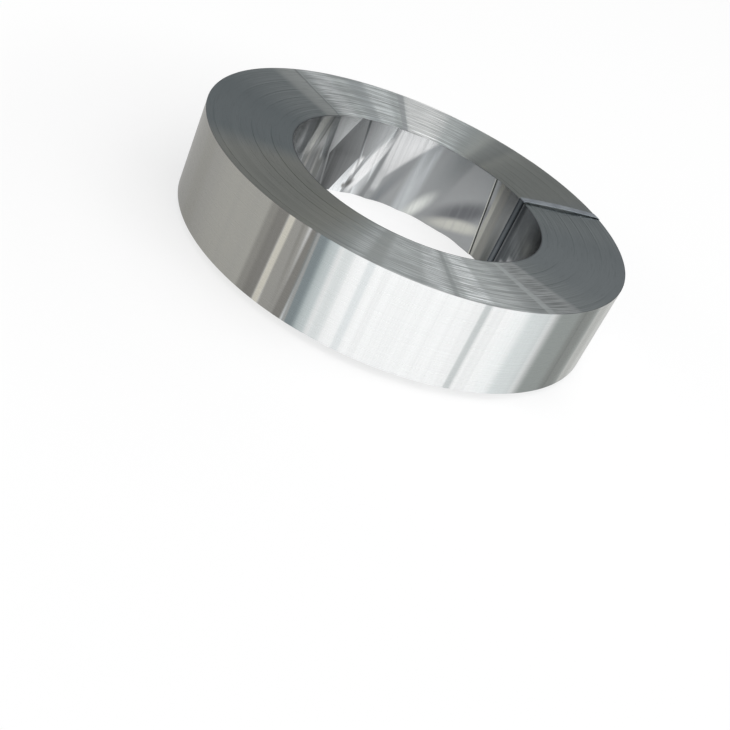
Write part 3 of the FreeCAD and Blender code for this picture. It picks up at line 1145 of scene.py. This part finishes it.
    def zones(self, coil: bpy.types.Object) -> None:
        """Gives each face its material slot.

        Args:
            coil: the swept coil, before it is pressed.
        """
        end = round(self.buckles.end_angle / self.column) * self.column
        for face in coil.data.polygons:
            radius = math.hypot(face.center.x, face.center.y)
            level = abs(face.normal.z) > self.level_normal
            past_end = math.degrees(math.atan2(face.center.y, face.center.x)) - end
            if radius < self.bore_radius and not level:
                face.material_index = Zone.BORE_WALL
                if abs(past_end) < self.column:
                    face.material_index = Zone.CUT_END if past_end > 0 else Zone.GAP_BEHIND_END
            elif radius > self.outer_radius - self.face_slack and not level:
                face.material_index = Zone.OUTER_WALL
            else:
                face.material_index = Zone.SLIT_EDGES

    def build(self, finishes: dict[Zone, bpy.types.Material]) -> None:
        """Makes the coil and dresses it.

        Args:
            finishes: the material of each zone.
        """
        coil = self.sweep()
        for zone in Zone:
            coil.data.materials.append(finishes[zone])
        self.zones(coil)
        self.press(coil)
        bpy.ops.object.shade_smooth_by_angle(angle=math.radians(self.crisp_angle))
        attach(coil, BODY)
        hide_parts("strip_coil")
        LOG.info("%s: %d faces", coil.name, len(coil.data.polygons))


@dataclass(frozen=True)
class Strapping:
    """The strap and its crimped seal, which keep their solids and get their steel here."""

    strap: StrappingFinish = StrappingFinish(
        "strapping_steel",
        (0.47, 0.51, 0.56),
        (0.55, 0.59, 0.62),
        shaded=((0.125, 0.137, 0.147), (0.05, 0.058, 0.066)),
    )
    seal: StrappingFinish = StrappingFinish("seal_steel", (0.52, 0.54, 0.55), (0.60, 0.61, 0.61))

    def dress(self, nodes: dict[str, bpy.types.Object]) -> None:
        """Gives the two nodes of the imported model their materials.

        Args:
            nodes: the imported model's nodes by name.
        """
        for name, finish in (("strap", self.strap), ("strap_seal", self.seal)):
            material = finish.material()
            slots = nodes[name].data.materials
            for count in range(len(slots)):
                slots[count] = material
            if not slots:
                slots.append(material)
            LOG.info("%s: dressed in %s", name, finish.name)


@dataclass(frozen=True)
class Panel:
    """A soft light panel: where its middle stands round the coil, its size and how bright it is."""

    name: str
    azimuth: float
    elevation: float
    width: float
    height: float
    radiance: float
    colour: Colour = (1.0, 1.0, 1.0)
    distance: float = 7.0

    def light(self, target: Vector) -> None:
        """Sets the panel up.

        Args:
            target: what it faces.
        """
        data = bpy.data.lights.new(self.name, "AREA")
        data.shape = "RECTANGLE"
        data.size, data.size_y = self.width, self.height
        data.energy = self.radiance * math.pi * self.width * self.height
        data.color = self.colour
        lamp = bpy.data.objects.new(self.name, data)
        bpy.context.scene.collection.objects.link(lamp)
        away = direction(self.azimuth, self.elevation)
        lamp.location = target + away * self.distance
        lamp.rotation_euler = away.to_track_quat("Z", "Y").to_euler()
        lamp.visible_camera = False


@dataclass(frozen=True)
class CeilingPanel:
    """A soft light panel over the coil. Its corners are given for a ceiling one metre up."""

    name: str
    corners: tuple[Pair, ...]
    radiance: float = 2.0
    colour: Colour = (1.0, 1.0, 1.0)
    height: float = 4.5

    def hang(self) -> None:
        """Hangs the panel up, where the camera doesn't see it."""
        bpy.ops.mesh.primitive_circle_add(vertices=len(self.corners), fill_type="NGON")
        panel = bpy.context.object
        panel.name = panel.data.name = self.name
        for vertex, (x, y) in zip(panel.data.vertices, self.corners):
            vertex.co = (x * self.height, y * self.height, self.height)
        surface = Surface(self.name)
        glow = surface.add("Emission", Color=self.colour, Strength=self.radiance)
        surface.show(glow.outputs[0])
        panel.data.materials.append(surface.material)
        panel.visible_camera = False


@dataclass(frozen=True)
class Studio:
    """The pale floor, the soft light and the camera.

    white_share is how white the floor shows at the two radii of shadow_reach. The camera's azimuth
    is from +Y.
    """

    floor_radius: float = 14.0
    floor_sides: int = 96
    floor_colour: Colour = (0.9, 0.9, 0.9)
    floor_roughness: float = 0.9
    shadow_reach: Pair = (0.5, 1.1)
    white_share: Pair = (0.7, 0.96)
    sky: Colour = (0.29, 0.295, 0.3)
    horizon: Colour = (0.972, 0.972, 0.972)
    horizon_span: Pair = (0.06, 0.2)
    lit_point: Point = (0.0, 0.0, 0.1)
    panels: tuple[Panel, ...] = (
        Panel("front_panel", -73.0, 30.0, 7.6, 5.0, 2.0),
        Panel("right_panel", -20.0, 30.0, 2.6, 5.0, 2.1),
        Panel("left_strip", -136.0, 28.0, 0.3, 5.0, 2.4, (1.0, 0.95, 0.84)),
    )
    ceiling: tuple[CeilingPanel, ...] = (
        CeilingPanel(
            "ceiling_right",
            ((0.17, 0.39), (0.26, 0.04), (0.38, -0.31), (0.62, -0.8), (1.2, 0.45), (0.49, 0.8)),
        ),
        CeilingPanel(
            "ceiling_left",
            (
                (0.14, 0.39), (-0.16, 0.39), (-0.36, -0.31), (-0.5, -0.6),
                (0.47, -0.6), (0.34, -0.31), (0.22, 0.04),
            ),
        ),
    )
    focal_pixels: float = 1102.56
    frame_pixels: float = 730.0
    sensor_width: float = 36.0
    camera_place: Point = (0.0, -1.9731, 0.9295)
    camera_azimuth: float = 1.61
    camera_elevation: float = -30.59
    camera_roll: float = 25.87

    def floor(self) -> None:
        """Lays the floor, which shows white away from the object and keeps the shadow near it."""
        bpy.ops.mesh.primitive_circle_add(
            vertices=self.floor_sides, radius=self.floor_radius, fill_type="NGON"
        )
        floor = bpy.context.object
        floor.name = "floor"
        surface = Surface("pale_floor", metallic=0.0)
        surface.set(Roughness=self.floor_roughness, Base_Color=self.floor_colour)
        path = surface.add("LightPath")
        seen = path.outputs["Is Camera Ray"]
        for ray in ("Is Glossy Ray", "Is Transmission Ray"):
            seen = surface.maths("MAXIMUM", seen, path.outputs[ray])
        share = surface.ramp(surface.radius, self.shadow_reach, self.white_share)
        white = surface.add("Emission", Strength=1.0)
        mixed = surface.add("MixShader")
        parts = (surface.maths("MULTIPLY", seen, share), surface.shader.outputs[0], white.outputs[0])
        for socket, part in zip(mixed.inputs, parts):
            surface.put(socket, part)
        surface.show(mixed.outputs[0])
        floor.data.materials.append(surface.material)

    def world(self) -> None:
        """Fills the room with even soft light, and makes it pale along the horizon."""
        world = bpy.data.worlds.new("soft_room")
        bpy.context.scene.world = world
        world.use_nodes = True
        graph = Graph(world.node_tree)
        towards = graph.add("TexCoord").outputs["Generated"]
        rise = graph.add("SeparateXYZ", Vector=towards).outputs[2]
        colour = graph.mix(graph.ramp(rise, self.horizon_span), self.horizon, self.sky)
        graph.fill(world.node_tree.nodes["Background"], Strength=1.0, Color=colour)

    def camera(self) -> None:
        """Sets the camera up where the photograph was taken from."""
        data = bpy.data.cameras.new("camera")
        data.sensor_width = self.sensor_width
        data.lens = self.focal_pixels / self.frame_pixels * data.sensor_width
        camera = bpy.data.objects.new("camera", data)
        bpy.context.scene.collection.objects.link(camera)
        ahead = direction(90.0 - self.camera_azimuth, self.camera_elevation)
        level = ahead.cross(Vector((0.0, 0.0, 1.0))).normalized()
        upright = level.cross(ahead)
        roll = math.radians(self.camera_roll)
        right = level * math.cos(roll) + upright * math.sin(roll)
        above = upright * math.cos(roll) - level * math.sin(roll)
        turned = Matrix((right, above, -ahead)).transposed().to_4x4()
        camera.matrix_world = Matrix.Translation(self.camera_place) @ turned
        bpy.context.scene.camera = camera

    def build(self) -> None:
        """Sets up the whole studio."""
        bpy.context.scene.view_settings.view_transform = "Standard"
        self.floor()
        self.world()
        for panel in self.panels:
            panel.light(Vector(self.lit_point))
        for panel in self.ceiling:
            panel.hang()
        self.camera()


def main() -> None:
    """Builds the scene."""
    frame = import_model()
    bpy.ops.object.select_all(action="DESELECT")
    Studio().build()
    bpy.ops.object.select_all(action="DESELECT")
    StripCoil().build(coil_finishes())
    Strapping().dress(frame["nodes"])


if __name__ == "__main__":
    logging.basicConfig(level=logging.INFO)
    main()
